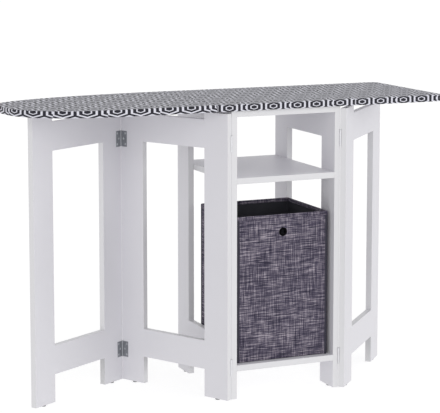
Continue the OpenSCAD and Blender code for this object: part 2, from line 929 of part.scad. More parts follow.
left_side_frame();
right_side_frame();
top_panel();
middle_shelf();
bottom_shelf();
dowels();
connecting_bolts();
cam_locks();
cabinet_glides();
centre_board();
centre_pad();
centre_cover();
board_screws();
left_post_hinge_leaves();
left_post_hinge_pins();
left_post_hinge_screws();
right_post_hinge_leaves();
right_post_hinge_pins();
right_post_hinge_screws();
left_joint_centre_leaves();
left_joint_pins();
left_joint_centre_screws();
right_joint_centre_leaves();
right_joint_pins();
right_joint_centre_screws();
left_inner_gate();
left_inner_gate_glides();
left_inner_hinge_leaves();
left_inner_hinge_screws();
fold_hinge_inner_leaves();
fold_hinge_pins();
fold_hinge_inner_screws();
left_outer_gate();
left_outer_gate_glides();
fold_hinge_outer_leaves();
fold_hinge_outer_screws();
right_gate();
right_gate_glides();
right_gate_hinge_leaves();
right_gate_hinge_screws();
left_flap_board();
left_flap_pad();
left_flap_cover();
left_flap_hinge_leaves();
left_flap_hinge_screws();
right_flap_board();
right_flap_pad();
right_flap_cover();
right_flap_hinge_leaves();
right_flap_hinge_screws();
basket_shell();
basket_stiffeners();
basket_base_board();
basket_lining();
basket_binding();
basket_eyelet();
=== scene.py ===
"""Looks of the gate-leg ironing table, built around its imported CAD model. Metres, +Z up, front towards -Y."""

import json
import math

import bmesh
import bpy
import numpy as np
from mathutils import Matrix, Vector


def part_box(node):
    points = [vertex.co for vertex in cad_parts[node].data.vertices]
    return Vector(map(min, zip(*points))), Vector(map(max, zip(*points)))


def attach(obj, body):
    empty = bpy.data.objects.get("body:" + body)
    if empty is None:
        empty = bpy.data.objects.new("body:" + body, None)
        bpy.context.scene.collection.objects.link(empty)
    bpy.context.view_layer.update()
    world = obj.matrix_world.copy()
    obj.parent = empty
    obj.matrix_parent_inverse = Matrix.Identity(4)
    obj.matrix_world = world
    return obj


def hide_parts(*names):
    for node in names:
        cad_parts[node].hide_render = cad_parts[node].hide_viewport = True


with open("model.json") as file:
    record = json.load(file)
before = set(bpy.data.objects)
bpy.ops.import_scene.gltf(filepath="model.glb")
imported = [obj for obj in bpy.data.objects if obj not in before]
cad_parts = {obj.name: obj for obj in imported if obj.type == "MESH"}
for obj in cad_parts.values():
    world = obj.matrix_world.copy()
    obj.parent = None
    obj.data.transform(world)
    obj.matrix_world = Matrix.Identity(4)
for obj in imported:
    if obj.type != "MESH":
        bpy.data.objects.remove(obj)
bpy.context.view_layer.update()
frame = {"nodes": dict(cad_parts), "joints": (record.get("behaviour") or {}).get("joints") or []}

# ---- Camera ----
# The photograph's place: in front of the table and a little to its left, above the board, looking
# slightly down, with a long lens.
camera_place = (-2.0941, -4.7921, 1.4243)
camera_turn = 23.675
camera_dip = 7.46
lens_pixels = 1774.19
frame_width = 440
sensor_mm = 36
lens_shift = (0.006, -0.15)
sight_reach = 60

camera_data = bpy.data.cameras.new("camera")
camera_data.sensor_width = sensor_mm
camera_data.sensor_fit = "HORIZONTAL"
camera_data.lens = lens_pixels / frame_width * sensor_mm
camera_data.shift_x, camera_data.shift_y = lens_shift
camera_data.clip_end = sight_reach
camera = bpy.data.objects.new("camera", camera_data)
camera.location = camera_place
camera.rotation_euler = (math.radians(90 - camera_dip), 0, math.radians(-camera_turn))
bpy.context.scene.collection.objects.link(camera)
bpy.context.scene.camera = camera
bpy.context.scene.view_settings.view_transform = "Standard"

# ---- Studio ----
# A wide white floor that glows evenly, as a lit studio floor does, under a white sky, with one large soft
# lamp in front on the right and one on the left. The floor still keeps the table's faint shadow. Floor and
# sky look whiter than the light that they cast on the table.
floor_reach = 30
floor_drop = 0.0005
floor_paint = (0.36, 0.36, 0.36, 1)
floor_glow = 0.77
floor_cast = 0.60
sky_cast = 0.65
lamps = {
    "soft_lamp": {"energy": 0.55, "comes_from": (0.90, -0.50, 0.22), "spread": 35},
    "fill_lamp": {"energy": 0.62, "comes_from": (-0.40, -0.92, 0.35), "spread": 40},
}


class Socket:
    """A node's output that stands in Python sums: each operation on it adds a Math node."""

    def __init__(self, tree, output=None):
        self.tree, self.output = tree, output

    def node(self, kind, settings=None, inputs=None, output=0):
        """Adds a node: its settings first, a ramp's stops among them, then its inputs by name or number."""
        made = self.tree.nodes.new(kind)
        for name, value in (settings or {}).items():
            if name == "stops":
                ramp = made.color_ramp.elements
                while len(ramp) < len(value):
                    ramp.new(0.5)
                for stop, (position, colour) in zip(ramp, value):
                    stop.position, stop.color = position, (*colour, 1)
            else:
                setattr(made, name, value)
        for name, value in (inputs or {}).items():
            if isinstance(value, Socket):
                self.tree.links.new(value.output, made.inputs[name])
            else:
                made.inputs[name].default_value = value
        return Socket(self.tree, made.outputs[output] if made.outputs else None)

    def other(self, output):
        """Another output of the same node."""
        return Socket(self.tree, self.output.node.outputs[output])

    def math(self, operation, *others):
        """A Math node on this output and further ones or numbers."""
        inputs = dict(enumerate((self, *others)))
        return self.node("ShaderNodeMath", {"operation": operation}, inputs)

    def __add__(self, other):
        return self.math("ADD", other)

    def __sub__(self, other):
        return self.math("SUBTRACT", other)

    def __mul__(self, other):
        return self.math("MULTIPLY", other)

    def __truediv__(self, other):
        return self.math("DIVIDE", other)

    def __rsub__(self, other):
        return self * -1 + other

    def __rtruediv__(self, other):
        return self.math("POWER", -1) * other

    __radd__, __rmul__ = __add__, __mul__


def new_material(name):
    """An empty node material and the socket wrapper on its tree."""
    made = bpy.data.materials.new(name)
    made.use_nodes = True
    made.node_tree.nodes.clear()
    return made, Socket(made.node_tree)


def surface(nodes, shader):
    """Joins a shader to the tree's output."""
    nodes.node("ShaderNodeOutputMaterial", None, {"Surface": shader})


def seen_or_cast(nodes, seen, cast):
    """One strength where the camera looks, also by way of a reflection or glass, and another one for the
    light that falls on the table."""
    ray = nodes.node("ShaderNodeLightPath", output="Is Camera Ray")
    direct = ray + ray.other("Is Glossy Ray") + ray.other("Is Transmission Ray")
    return direct * (seen - cast) + cast


floor_corners = [(x * floor_reach, y * floor_reach, -floor_drop)
                 for x, y in ((-1, -1), (1, -1), (1, 1), (-1, 1))]
floor_mesh = bpy.data.meshes.new("floor")
floor_mesh.from_pydata(floor_corners, [], [(0, 1, 2, 3)])
floor = bpy.data.objects.new("floor", floor_mesh)
bpy.context.scene.collection.objects.link(floor)
white_floor, nodes = new_material("white_floor")
glow = nodes.node("ShaderNodeEmission", None, {
    "Color": (1, 1, 1, 1), "Strength": seen_or_cast(nodes, floor_glow, floor_cast)})
paint = nodes.node("ShaderNodeBsdfDiffuse", None, {"Color": floor_paint})
surface(nodes, nodes.node("ShaderNodeAddShader", None, {0: glow, 1: paint}))
floor_mesh.materials.append(white_floor)

world = bpy.data.worlds.new("sky")
world.use_nodes = True
world.node_tree.nodes.clear()
bpy.context.scene.world = world
nodes = Socket(world.node_tree)
sky = nodes.node("ShaderNodeBackground", None, {
    "Color": (1, 1, 1, 1), "Strength": seen_or_cast(nodes, 1, sky_cast)})
nodes.node("ShaderNodeOutputWorld", None, {"Surface": sky})

for name, light in lamps.items():
    lamp_data = bpy.data.lights.new(name, "SUN")
    lamp_data.energy = light["energy"]
    lamp_data.angle = math.radians(light["spread"])
    lamp = bpy.data.objects.new(name, lamp_data)
    lamp.rotation_euler = Vector(light["comes_from"]).to_track_quat("Z", "Y").to_euler()
    bpy.context.scene.collection.objects.link(lamp)

# ---- White boards ----
# The cabinet's side frames, panels and shelves and the three gates are coated boards with a thin
# band round every edge. Their CAD solids are copied with the long edges very slightly rounded, as
# edge banding is.
soft_edge = 0.0005
long_edge = 0.02
merge_gap = 1e-6
flat_angle = 0.002
square_corner = math.radians(60)
crisp_angle = math.radians(50)
band_turn = 0.5
fold_near = 0.002
fold_axis = next(Vector(joint["pos_m"]).xy for joint in frame["joints"]
                 if joint["name"] == "left_gate_fold")


def noise(nodes, where, scale, detail, roughness=0.5, distortion=0.0):
    """A noise pattern's value."""
    return nodes.node("ShaderNodeTexNoise", None, {
        "Vector": where, "Scale": scale, "Detail": detail, "Roughness": roughness, "Distortion": distortion})


def blend(nodes, share, first, second):
    """A colour between two, second by its share."""
    return nodes.node("ShaderNodeMix", {"data_type": "RGBA"}, {0: share, 6: first, 7: second}, output=2)


def relief(nodes, strength, distance, height):
    """A normal that follows a height."""
    return nodes.node("ShaderNodeBump", None, {"Strength": strength, "Distance": distance, "Height": height})


def finish(nodes, colour, roughness, more=None):
    """Joins a principled shader to the output, with more inputs by name."""
    inputs = {"Base Color": colour, "Roughness": roughness, **(more or {})}
    surface(nodes, nodes.node("ShaderNodeBsdfPrincipled", None, inputs))


white_board, nodes = new_material("white_board")
place = nodes.node("ShaderNodeTexCoord", output="Object")
band = nodes.node("ShaderNodeAttribute", {"attribute_name": "band"}, output="Fac")
cloud = noise(nodes, place, 3.5, 3, roughness=0.6)
grain = noise(nodes, place, 620, 2)
rubbed = noise(nodes, place, 19, 5, roughness=0.7)
coat = blend(nodes, cloud, (0.705, 0.697, 0.735, 1), (0.745, 0.737, 0.775, 1))
# The edge faces are painted a little lighter and less blue than the broad faces. This is partly the edge band's
# own colour and partly painted light, which lifts the window jambs that lie in shade.
coat = blend(nodes, band * 0.8, coat, (0.745, 0.743, 0.758, 1))
finish(nodes, coat, 0.36 + rubbed * 0.16 - band * 0.05, {
    "Normal": relief(nodes, 0.12, 0.0003, grain + cloud * 0.4), "IOR": 1.46})


def softened(node, material):
    """A copy of a CAD solid with its doubles merged and its long square edges rounded, but for those that
    meet at the fold. Each face's band value is 1 where it turns away from the board's broad side."""
    shape = bmesh.new()
    shape.from_mesh(frame["nodes"][node].data)
    bmesh.ops.remove_doubles(shape, verts=shape.verts, dist=merge_gap)
    bmesh.ops.dissolve_limit(shape, angle_limit=flat_angle, verts=shape.verts, edges=shape.edges)
    edges = [e for e in shape.edges if len(e.link_faces) == 2 and e.calc_length() > long_edge
             and e.calc_face_angle() > square_corner
             and max((v.co.xy - fold_axis).length for v in e.verts) > fold_near]
    bmesh.ops.bevel(shape, geom=edges, offset=soft_edge, segments=2, profile=0.5, affect="EDGES")
    shape.normal_update()
    broad = max(shape.faces, key=lambda face: face.calc_area()).normal.copy()
    layer = shape.faces.layers.float.new("band")
    for face in shape.faces:
        face[layer] = float(abs(face.normal.dot(broad)) < band_turn)
        face.smooth = True
    mesh = bpy.data.meshes.new(node + "_coated")
    shape.to_mesh(mesh)
    shape.free()
    made = bpy.data.objects.new(node + "_coated", mesh)
    bpy.context.scene.collection.objects.link(made)
    mesh.materials.append(material)
    mesh.set_sharp_from_angle(angle=crisp_angle)
    weighted = made.modifiers.new("even_faces", "WEIGHTED_NORMAL")
    weighted.keep_sharp = True
    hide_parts(node)
    return made


board_bodies = {
    "left_side_frame": "cabinet", "right_side_frame": "cabinet", "top_panel": "cabinet",
    "middle_shelf": "cabinet", "bottom_shelf": "cabinet", "left_inner_gate": "left_inner_gate_leg",
    "left_outer_gate": "left_outer_gate_leg", "right_gate": "right_gate_leg",
}
for node, body in board_bodies.items():
    board = softened(node, white_board)
    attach(board, body)

# ---- Ironing cover ----
# A printed cotton cover on each of the board's three sections. It is pulled over the pad and round
# the board's edges, and its hem is turned under the board; at a joint it ends over the core's bevel.
edge_round = 0.003
joint_round = 0.0012
hem_drop = 0.00024
hem_width = 0.024
hem_fold = 0.0012
bevel_top = 0.0024
wall_start = 0.009
nose_front_run = 0.400
nose_tip_from_front = 0.262
nose_back_short = 0.004
nose_power = 3
corner_round = 0.018
ripple = 0.0002
round_steps = 6
near_steps, side_steps, joint_steps, back_steps, end_steps = 60, 90, 44, 44, 40
turn_steps = 10
fine_steps = 2000
spine_margin = 0.14
# Rows of the hem up to the board's side: how far in, how far in at a joint, height over the underside
hem = [(hem_width, bevel_top, -hem_drop), (hem_fold, bevel_top, -hem_drop), (0.0003, bevel_top, 0.0),
       (0.0, bevel_top - 0.0008, 0.0008), (0.0, 0.0, bevel_top), (0.0, 0.0, wall_start)]
hem_rows_below = 2
# Rows of the top, as shares of the way from its rim to its middle line
top_shares = (0.03, 0.08, 0.15, 0.24, 0.34, 0.45, 0.56, 0.67, 0.78, 0.89, 1.0)


def way_along(points):
    """How far along a line of points each of them lies: the sum of the steps up to it."""
    return np.concatenate([[0], np.cumsum(np.linalg.norm(np.diff(points, axis=0), axis=1))])


def points_along(curve, count):
    """Points that lie evenly along a curve, which is a function of a parameter from 0 to 1."""
    fine = np.linspace(0, 1, fine_steps)
    along = way_along(curve(fine))
    return curve(np.interp(np.linspace(0, along[-1], count), along, fine))


def line(a, b, count):
    """Points on the straight way from a to b, without b itself."""
    t = np.linspace(0, 1, count, endpoint=False)[:, None]
    return np.array(a) * (1 - t) + np.array(b) * t


def nose_outline(inset, at_joint):
    """Round the left section, clockwise from the front corner at the joint: a straight front, a curve
    of power 3 to the tip, a quarter ellipse back, and the joint. Both insets draw it inwards."""
    low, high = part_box("left_flap_cover")
    joint, near, far = high.x - at_joint, low.y + inset, high.y - inset
    tip_x, tip_y = low.x + inset, low.y + nose_tip_from_front
    front_run, back_run = nose_front_run - inset, high.x - nose_back_short - tip_x

    def front(t):
        x = tip_x + front_run * (1 - np.sin(t * np.pi / 2) ** (2 / nose_power))
        y = tip_y - (tip_y - near) * np.cos(t * np.pi / 2).clip(0) ** (2 / nose_power)
        return np.stack([x, y], 1)

    def back(t):
        x = tip_x + back_run * (1 - np.cos(t * np.pi / 2))
        return np.stack([x, tip_y + (far - tip_y) * np.sin(t * np.pi / 2)], 1)

    return np.concatenate([
        line((joint, near), (tip_x + front_run, near), near_steps), points_along(front, near_steps)[:-1],
        points_along(back, side_steps), line((joint, far), (joint, near), joint_steps)])


def centre_outline(inset, at_joint):
    """Round the middle section, clockwise from the front corner at the right joint."""
    low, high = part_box("centre_cover")
    left, right, near, far = low.x + at_joint, high.x - at_joint, low.y + inset, high.y - inset
    return np.concatenate([
        line((right, near), (left, near), near_steps), line((left, near), (left, far), joint_steps),
        line((left, far), (right, far), near_steps), line((right, far), (right, near), joint_steps)])


def end_outline(inset, at_joint):
    """Round the right section, clockwise from the front corner at the joint, with two round corners."""
    low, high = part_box("right_flap_cover")
    joint, near, far, end = low.x + at_joint, low.y + inset, high.y - inset, high.x - inset
    r = corner_round - inset
    turn = np.linspace(0, np.pi / 2, turn_steps)
    back_corner = np.stack([end - r + r * np.sin(turn), far - r + r * np.cos(turn)], 1)
    front_corner = np.stack([end - r + r * np.cos(turn), near + r - r * np.sin(turn)], 1)
    return np.concatenate([
        line((joint, near), (joint, far), joint_steps), line((joint, far), (end - r, far), back_steps),
        back_corner[:-1], line((end, far - r), (end, near + r), end_steps), front_corner,
        line((end - r, near), (joint, near), back_steps + 1)[1:]])


def corners(values):
    """For a grid of values, the four at the corners of each face, where the last column repeats the first."""
    return np.stack([values[:-1, :-1], values[1:, :-1], values[1:, 1:], values[:-1, 1:]], 2)


def wrapped(grid):
    """A grid with its first column repeated after its last one."""
    return np.concatenate([grid, grid[:, :1]], 1)


def grid_piece(name, points, face_uv, keep=None):
    """A surface from a grid of points in rows and columns, closed round its columns. Each face keeps its
    own corner values as its map, equal points are merged, and only the faces in keep are made."""
    rows, columns = points.shape[:2]
    faces = corners(wrapped(np.arange(rows * columns).reshape(rows, columns)))
    keep = np.ones(faces.shape[:2], bool) if keep is None else keep
    mesh = bpy.data.meshes.new(name)
    mesh.from_pydata(points.reshape(-1, 3), [], faces[keep].tolist())
    mesh.uv_layers.new(name="cloth").data.foreach_set("uv", face_uv[keep].astype(np.float32).ravel())
    shape = bmesh.new()
    shape.from_mesh(mesh)
    bmesh.ops.remove_doubles(shape, verts=shape.verts, dist=merge_gap)
    bmesh.ops.dissolve_degenerate(shape, edges=shape.edges, dist=merge_gap / 10)
    for face in shape.faces:
        face.smooth = True
    shape.to_mesh(mesh)
    shape.free()
    made = bpy.data.objects.new(name, mesh)
    bpy.context.scene.collection.objects.link(made)
    return made


def spine_of(ring):
    """For each point of a ring, the nearest point of a line along the middle of its box."""
    low, high = ring.min(0), ring.max(0)
    x = ring[:, 0].clip(low[0] + spine_margin, high[0] - spine_margin)
    return np.stack([x, np.full(len(x), (low[1] + high[1]) / 2)], 1)


def ripples(x, y):
    """The faint waves of the cloth on the board's top, from 0 to 1: a half, and a third of the sum of two
    slanting sine waves' product and half a third sine wave."""
    waves = np.sin(41 * x + 23 * y) * np.sin(67 * y - 18 * x) + 0.5 * np.sin(131 * x + 71 * y)
    return 0.5 + waves / 3


def cover_piece(name, outline, map_top, map_side):
    """The cover's rows run from the hem's inner edge under the board, out, up the side, round the top
    edge, and in over the top to the middle line."""
    under, top = (corner.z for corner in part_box("centre_cover"))
    low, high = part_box(name)
    joints = {"left_flap_cover": [high.x], "centre_cover": [low.x, high.x], "right_flap_cover": [low.x]}[name]
    ring = outline(0, 0)
    at_joint = np.isin(ring[:, 0].round(6), np.round(joints, 6))
    radius = np.where(at_joint, joint_round, edge_round)
    rows, heights = [], []
    for inset, joint_inset, z in hem:
        rows.append(outline(inset, joint_inset))
        heights.append(np.full(len(ring), under + z))
    for turn in np.linspace(0, np.pi / 2, round_steps):
        rows.append(outline(edge_round * (1 - np.cos(turn)), joint_round * (1 - np.cos(turn))))
        heights.append(top - radius * (1 - np.sin(turn)))
    rim = rows[-1]
    rim_row, round_middle = len(rows) - 1, len(hem) + round_steps // 2
    for t in top_shares:
        rows.append(rim * (1 - t) + spine_of(rim) * t)
        heights.append(np.full(len(ring), top))
    plan, z = np.array(rows), np.array(heights)
    z[rim_row:] -= ripple * ripples(plan[rim_row:, :, 0], plan[rim_row:, :, 1])
    turned_in = np.zeros(z.shape)
    turned_in[:hem_rows_below] = np.linalg.norm(plan - ring, axis=2)[:hem_rows_below]
    around = np.broadcast_to(way_along(np.concatenate([ring, ring[:1]])), wrapped(z).shape)
    face_uv = corners(np.stack(map_side(around, wrapped(z - turned_in)), 2))
    top_uv = corners(np.stack(map_top(wrapped(plan[..., 0]), wrapped(plan[..., 1])), 2))
    face_uv[round_middle:] = top_uv[round_middle:]
    keep = np.ones(face_uv.shape[:2], bool)
    keep[:hem_rows_below, at_joint & np.roll(at_joint, -1)] = False
    points = np.concatenate([plan, z[..., None]], 2)
    made = grid_piece(name.replace("_cover", "_cloth_cover"), points, face_uv, keep)
    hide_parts(name)
    return made


print_pitch = 0.0615
print_tile = (-0.397 * print_pitch, 1.858 * print_pitch)
row_half = print_pitch * math.sqrt(3) / 2
ink, ground = (0.012, 0.012, 0.021), (0.77, 0.77, 0.85)
ring_ends = (0.27, 0.39, 0.67, 0.865)
ring_blur = 0.008
cotton_turns = 9000

cotton, nodes = new_material("printed_cotton")
place = nodes.node("ShaderNodeTexCoord", output="Object")
across = nodes.node("ShaderNodeSeparateXYZ", None, {0: nodes.node("ShaderNodeUVMap", {"uv_map": "cloth"})})
along = across.other("Y")
repeat = across.math("WRAP", print_tile[1], print_tile[0])
bleed = noise(nodes, place, 900, 1) - 0.5


def hexagon(u, v):
    """Distance from the middle of the nearest hexagon of one grid: the greater of |x| and |x|/2 + |y| sin 60,
    where x and y wrap at half a pitch and at a row."""
    x = u.math("WRAP", print_pitch / 2, -print_pitch / 2).math("ABSOLUTE")
    y = v.math("WRAP", row_half, -row_half).math("ABSOLUTE")
    return x.math("MAXIMUM", x * 0.5 + y * (math.sqrt(3) / 2))


nearest = hexagon(repeat, along).math("MINIMUM", hexagon(repeat + print_pitch / 2, along + row_half))
ring_place = nearest / (print_pitch / 2) + bleed * 0.03
stops = [(0, ink)]
for ring_end, before, after in zip(ring_ends, (ink, ground) * 2, (ground, ink) * 2):
    stops += [(ring_end - ring_blur, before), (ring_end + ring_blur, after)]
dye = nodes.node("ShaderNodeValToRGB", {"stops": stops}, {"Fac": ring_place})
threads = (across * cotton_turns).math("SINE") * (along * cotton_turns).math("SINE")
slub = noise(nodes, place, 70, 4)
shade = blend(nodes, slub, (0.7, 0.7, 0.7, 1), (1, 1, 1, 1))
dye = nodes.node("ShaderNodeMix", {"data_type": "RGBA", "blend_type": "MULTIPLY"}, {
    0: 0.35, 6: dye, 7: shade}, output=2)
finish(nodes, dye, 0.82 + slub * 0.1, {
    "Normal": relief(nodes, 0.35, 0.0002, threads * 0.5 + slub), "Sheen Weight": 0.12})

middle_z = (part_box("centre_cover")[0].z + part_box("centre_cover")[1].z) / 2
side_stretch = 1.85
# How far the print is shifted on each section, and the longer pitch that it has round the nose
centre_start, nose_start, end_start = 0.0298, 0.1466, 0.3802
nose_pitch = 0.068
nose_scale = print_pitch / nose_pitch
nose_lift = 0.0062
centre_edge, nose_edge, end_edge = (
    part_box("centre_cover")[1].x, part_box("left_flap_cover")[1].x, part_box("right_flap_cover")[0].x)
end_ring = end_outline(0, 0)
end_girth = way_along(np.concatenate([end_ring, end_ring[:1]]))[-1]


def side_v(z, lift=0.0):
    """The map's height for a height on a cover's side, where the print is squashed."""
    return (z - middle_z - lift) * side_stretch


# For each cover: its outline, its body, and the maps of its top and of its side
covers = {
    "centre_cover": (
        centre_outline, "cabinet", lambda x, y: (x - centre_start, y),
        lambda way, z: (centre_edge - way - centre_start, side_v(z))),
    "left_flap_cover": (
        nose_outline, "left_flap", lambda x, y: ((x - nose_edge + nose_start) * nose_scale, y),
        lambda way, z: ((nose_start - way) * nose_scale, side_v(z, nose_lift))),
    "right_flap_cover": (
        end_outline, "right_flap", lambda x, y: (x - end_start, y),
        lambda way, z: (end_edge + end_girth - way - end_start, side_v(z))),
}
for name, (outline, body, map_top, map_side) in covers.items():
    cover = cover_piece(name, outline, map_top, map_side)
    cover.data.materials.append(cotton)
    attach(cover, body)

# ---- Felt pads ----
# A layer of pressed felt on each of the board's cores, cut to its outline and laid loose under the
# cover, which pulls its upper edge round.
pad_inset = 0.0014
pad_joint_inset = 0.0004
pad_joint_most = 0.002
pad_sink = 0.0004
pad_lift = 0.0001
pad_foot = 0.006
# The rounding of a pad's upper edge: how far in, and how far below the pad's top
pad_round = [(0.0, 0.0018), (0.0006, 0.0006), (0.0020, 0.0)]
# Rows below and above, as shares of the way from the rim to the middle line
pad_under_shares, pad_top_shares = (1, 0.5), (0.25, 0.5, 0.75, 1)

felt, nodes = new_material("felt")
place = nodes.node("ShaderNodeTexCoord", output="Object")
fluff = noise(nodes, place, 420, 6, roughness=0.7)
tuft = noise(nodes, place, 45, 3)
wool = blend(nodes, fluff * 0.7 + tuft * 0.3, (0.50, 0.49, 0.45, 1), (0.74, 0.73, 0.69, 1))
finish(nodes, wool, 0.95, {"Normal": relief(nodes, 0.6, 0.0005, fluff + tuft), "Sheen Weight": 0.3})


def pad_ring(outline, inset, z):
    """A ring of a pad's points, drawn in by inset, and by less at a joint."""
    ring = outline(pad_inset + inset, min(pad_joint_inset + inset, pad_joint_most))
    return np.column_stack([ring, np.full(len(ring), z)])


def towards_middle(ring, spine, share):
    """A flat ring of points, moved towards its points on the middle line by a share of the way."""
    return ring * (1 - share) + np.column_stack([spine, ring[:, 2]]) * share


for name, (outline, body, _, _) in covers.items():
    node = name.replace("_cover", "_pad")
    foot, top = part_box(node)[0].z + pad_lift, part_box(node)[1].z - pad_sink
    rings = [pad_ring(outline, inset, z) for inset, z in
             [(pad_foot, foot), (0.0, foot)] + [(inset, top - drop) for inset, drop in pad_round]]
    spine = spine_of(rings[-1][:, :2])
    points = np.array([towards_middle(rings[0], spine, share) for share in pad_under_shares] + rings
                      + [towards_middle(rings[-1], spine, share) for share in pad_top_shares])
    pad = grid_piece(node.replace("_pad", "_felt_pad"), points, corners(wrapped(points)[..., :2]))
    pad.data.materials.append(felt)
    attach(pad, body)
    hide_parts(node)

# ---- Basket cloth ----
# A tall basket that pulls out of the lower compartment: melange cloth sewn round stiff boards, folded
# over the rim and stitched down, and bound with a darker tape along its upright corners.
basket_low, basket_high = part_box("basket_shell")
basket_middle = np.array([(basket_low.x + basket_high.x) / 2, (basket_low.y + basket_high.y) / 2])
basket_corner = 0.004
basket_foot_round = 0.0038
# How far the front, right, back and left walls stand out in their middles
bulges = np.array([0.0011, 0.0004, 0.0009, 0.0004])
crease_depth = 0.00022
lining_inset = 0.004
eyelet_x = basket_middle[0]
eyelet_z = (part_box("basket_eyelet")[0].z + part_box("basket_eyelet")[1].z) / 2
cloth_hole = 0.0095
thread_turns = 2850

# Points along one side, from -1 to 1 and closer together near the eyelet, and round one corner
near_eyelet, coarse_steps, close_steps, corner_steps = 0.1, 40, 21, 8
side_places = np.concatenate([
    np.linspace(-1, -near_eyelet, coarse_steps), np.linspace(-near_eyelet, near_eyelet, close_steps)[1:-1],
    np.linspace(near_eyelet, 1, coarse_steps)])
corner_turns = np.linspace(0, np.pi / 2, corner_steps)[1:-1]


def basket_ring(inset, radius):
    """The basket's plan drawn in by inset, anticlockwise from its front left corner, with round corners.
    Gives the points, the outward directions, each point's side and its place from -1 to 1 along it."""
    half = np.array([basket_high.x, basket_high.y]) - basket_middle - inset
    points, outward, sides, places = [], [], [], []
    for side in range(4):
        turn = side * np.pi / 2
        run = np.array([math.cos(turn), math.sin(turn)]).round()
        out = np.array([run[1], -run[0]])
        reach, depth = abs(run @ half) - radius, abs(out @ half)
        points.append(basket_middle + np.outer(side_places * reach, run) + out * depth)
        outward.append(np.tile(out, (len(side_places), 1)))
        fan = np.outer(np.cos(corner_turns), out) + np.outer(np.sin(corner_turns), run)
        points.append(basket_middle + run * reach + out * (depth - radius) + fan * radius)
        outward.append(fan)
        sides += [side] * (len(side_places) + len(fan))
        places += [*side_places, *np.ones(len(fan))]
    return np.concatenate(points), np.concatenate(outward), np.array(sides), np.array(places)


def wall_swell(height, sides, places):
    """How far a wall stands out at a height from 0 at the foot to 1 at the rim: a low bulge and faint
    creases, the product of two sine waves. Both are times 1 less the place squared, and times the sine of
    half a turn of height, so that they die away at the corners, the foot and the rim."""
    calm = (1 - places ** 2) * np.sin(np.pi * np.clip(height, 0, 1)) ** 0.8
    wave = np.sin(7 * places + 19 * height + 2 * sides) * np.sin(11 * height - 5 * places + sides)
    return calm * (bulges[sides] + crease_depth * wave)


def round_map(plan, heights):
    """A map in metres for rings of points: the way round, and the way from the first ring on."""
    around = way_along(wrapped(plan)[len(plan) // 2])
    steps = np.linalg.norm(np.diff(plan, axis=0), axis=2).mean(1) + np.abs(np.diff(heights))
    climb = np.concatenate([[0], np.cumsum(steps)])
    return corners(np.stack(np.broadcast_arrays(around[None, :], climb[:, None]), 2))


def basket_piece(name, material, rows, swell=1.0, hole=None):
    """A surface through rings of the basket's plan, each given by its inset, corner radius and height.
    A hole leaves out the front's faces within that distance of the eyelet's middle."""
    rings = [basket_ring(inset, radius) for inset, radius, _ in rows]
    heights = np.array([z for _, _, z in rows])
    tall = basket_high.z - basket_low.z
    plan = np.array([ring + outward * wall_swell((z - basket_low.z) / tall, sides, places)[:, None] * swell
                     for (ring, outward, sides, places), z in zip(rings, heights)])
    points = np.concatenate([plan, np.broadcast_to(heights[:, None, None], plan.shape[:2] + (1,))], 2)
    face_uv = round_map(plan, heights)
    keep = np.ones(face_uv.shape[:2], bool)
    if hole:
        middle = corners(wrapped(points)).mean(2)
        away = np.hypot(middle[..., 0] - eyelet_x, middle[..., 2] - eyelet_z)
        keep = (away > hole) | (middle[..., 1] > basket_middle[1])
    made = grid_piece(name, points, face_uv, keep)
    made.data.materials.append(material)
    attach(made, "basket")
    return made


melange, nodes = new_material("melange_cloth")
cloth_map = nodes.node("ShaderNodeUVMap", {"uv_map": "cloth"})
way = nodes.node("ShaderNodeSeparateXYZ", None, {0: cloth_map})


def yarns(cloth, stretch):
    """Noise on a cloth's map, drawn out into yarns: stretch is how many lie in a metre each way."""
    where = cloth.node("ShaderNodeVectorMath", {"operation": "MULTIPLY"}, {0: cloth, 1: stretch})
    return noise(cloth, where, 1, 1, roughness=0.6, distortion=0.9)


patch = noise(nodes, cloth_map, 22, 2)
weave = (way * thread_turns).math("SINE") * (way.other("Y") * thread_turns).math("SINE")
shown = yarns(cloth_map, (19, 400, 1)) * 0.57 + yarns(cloth_map, (410, 16, 1)) * 0.43
shown = shown + (patch - 0.5) * 0.01 + weave * 0.03
yarn_colour = nodes.node("ShaderNodeValToRGB", {"stops": [
    (0.395, (0.016, 0.013, 0.032)), (0.475, (0.062, 0.052, 0.088)), (0.54, (0.122, 0.105, 0.146)),
    (0.63, (0.38, 0.34, 0.39))]}, {"Fac": shown})
finish(nodes, yarn_colour, 0.86 + shown * 0.1, {
    "Normal": relief(nodes, 0.5, 0.0004, weave * 0.4 + shown * 1.5), "Sheen Weight": 0.05})

half_depth = basket_high.y - basket_middle[1]
least_corner = 0.0005
rim_drop = 0.0004
# The rows lie closer together over this reach above and below the eyelet's middle
eyelet_reach = 0.015
low_steps, eyelet_steps, high_steps, foot_steps = 36, 21, 10, 6
eyelet_low, eyelet_high = eyelet_z - eyelet_reach, eyelet_z + eyelet_reach
wall_heights = np.concatenate([
    np.linspace(basket_low.z + basket_foot_round, eyelet_low, low_steps),
    np.linspace(eyelet_low, eyelet_high, eyelet_steps)[1:],
    np.linspace(eyelet_high, basket_high.z - rim_drop, high_steps)[1:]])


def round_foot(inset, corner, z, radius, least=0.0):
    """Rows of a rounded foot, a quarter circle from a floor at height z up to a wall at an inset with its
    corner radius."""
    return [(inset + radius * (1 - math.sin(a)), max(corner - radius * (1 - math.sin(a)), least),
             z + radius * (1 - math.cos(a))) for a in np.linspace(0, np.pi / 2, foot_steps)[:-1]]


# The cloth's rows from the middle of the basket's floor outwards and up the walls
cloth_rows = [(half_depth, 0, basket_low.z), (0.06, 0, basket_low.z), (0.012, least_corner, basket_low.z)]
cloth_rows += round_foot(0, basket_corner, basket_low.z, basket_foot_round)
cloth_rows += [(0, basket_corner, z) for z in wall_heights]
shell = basket_piece("basket_cloth", melange, cloth_rows, hole=cloth_hole)
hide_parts("basket_shell")

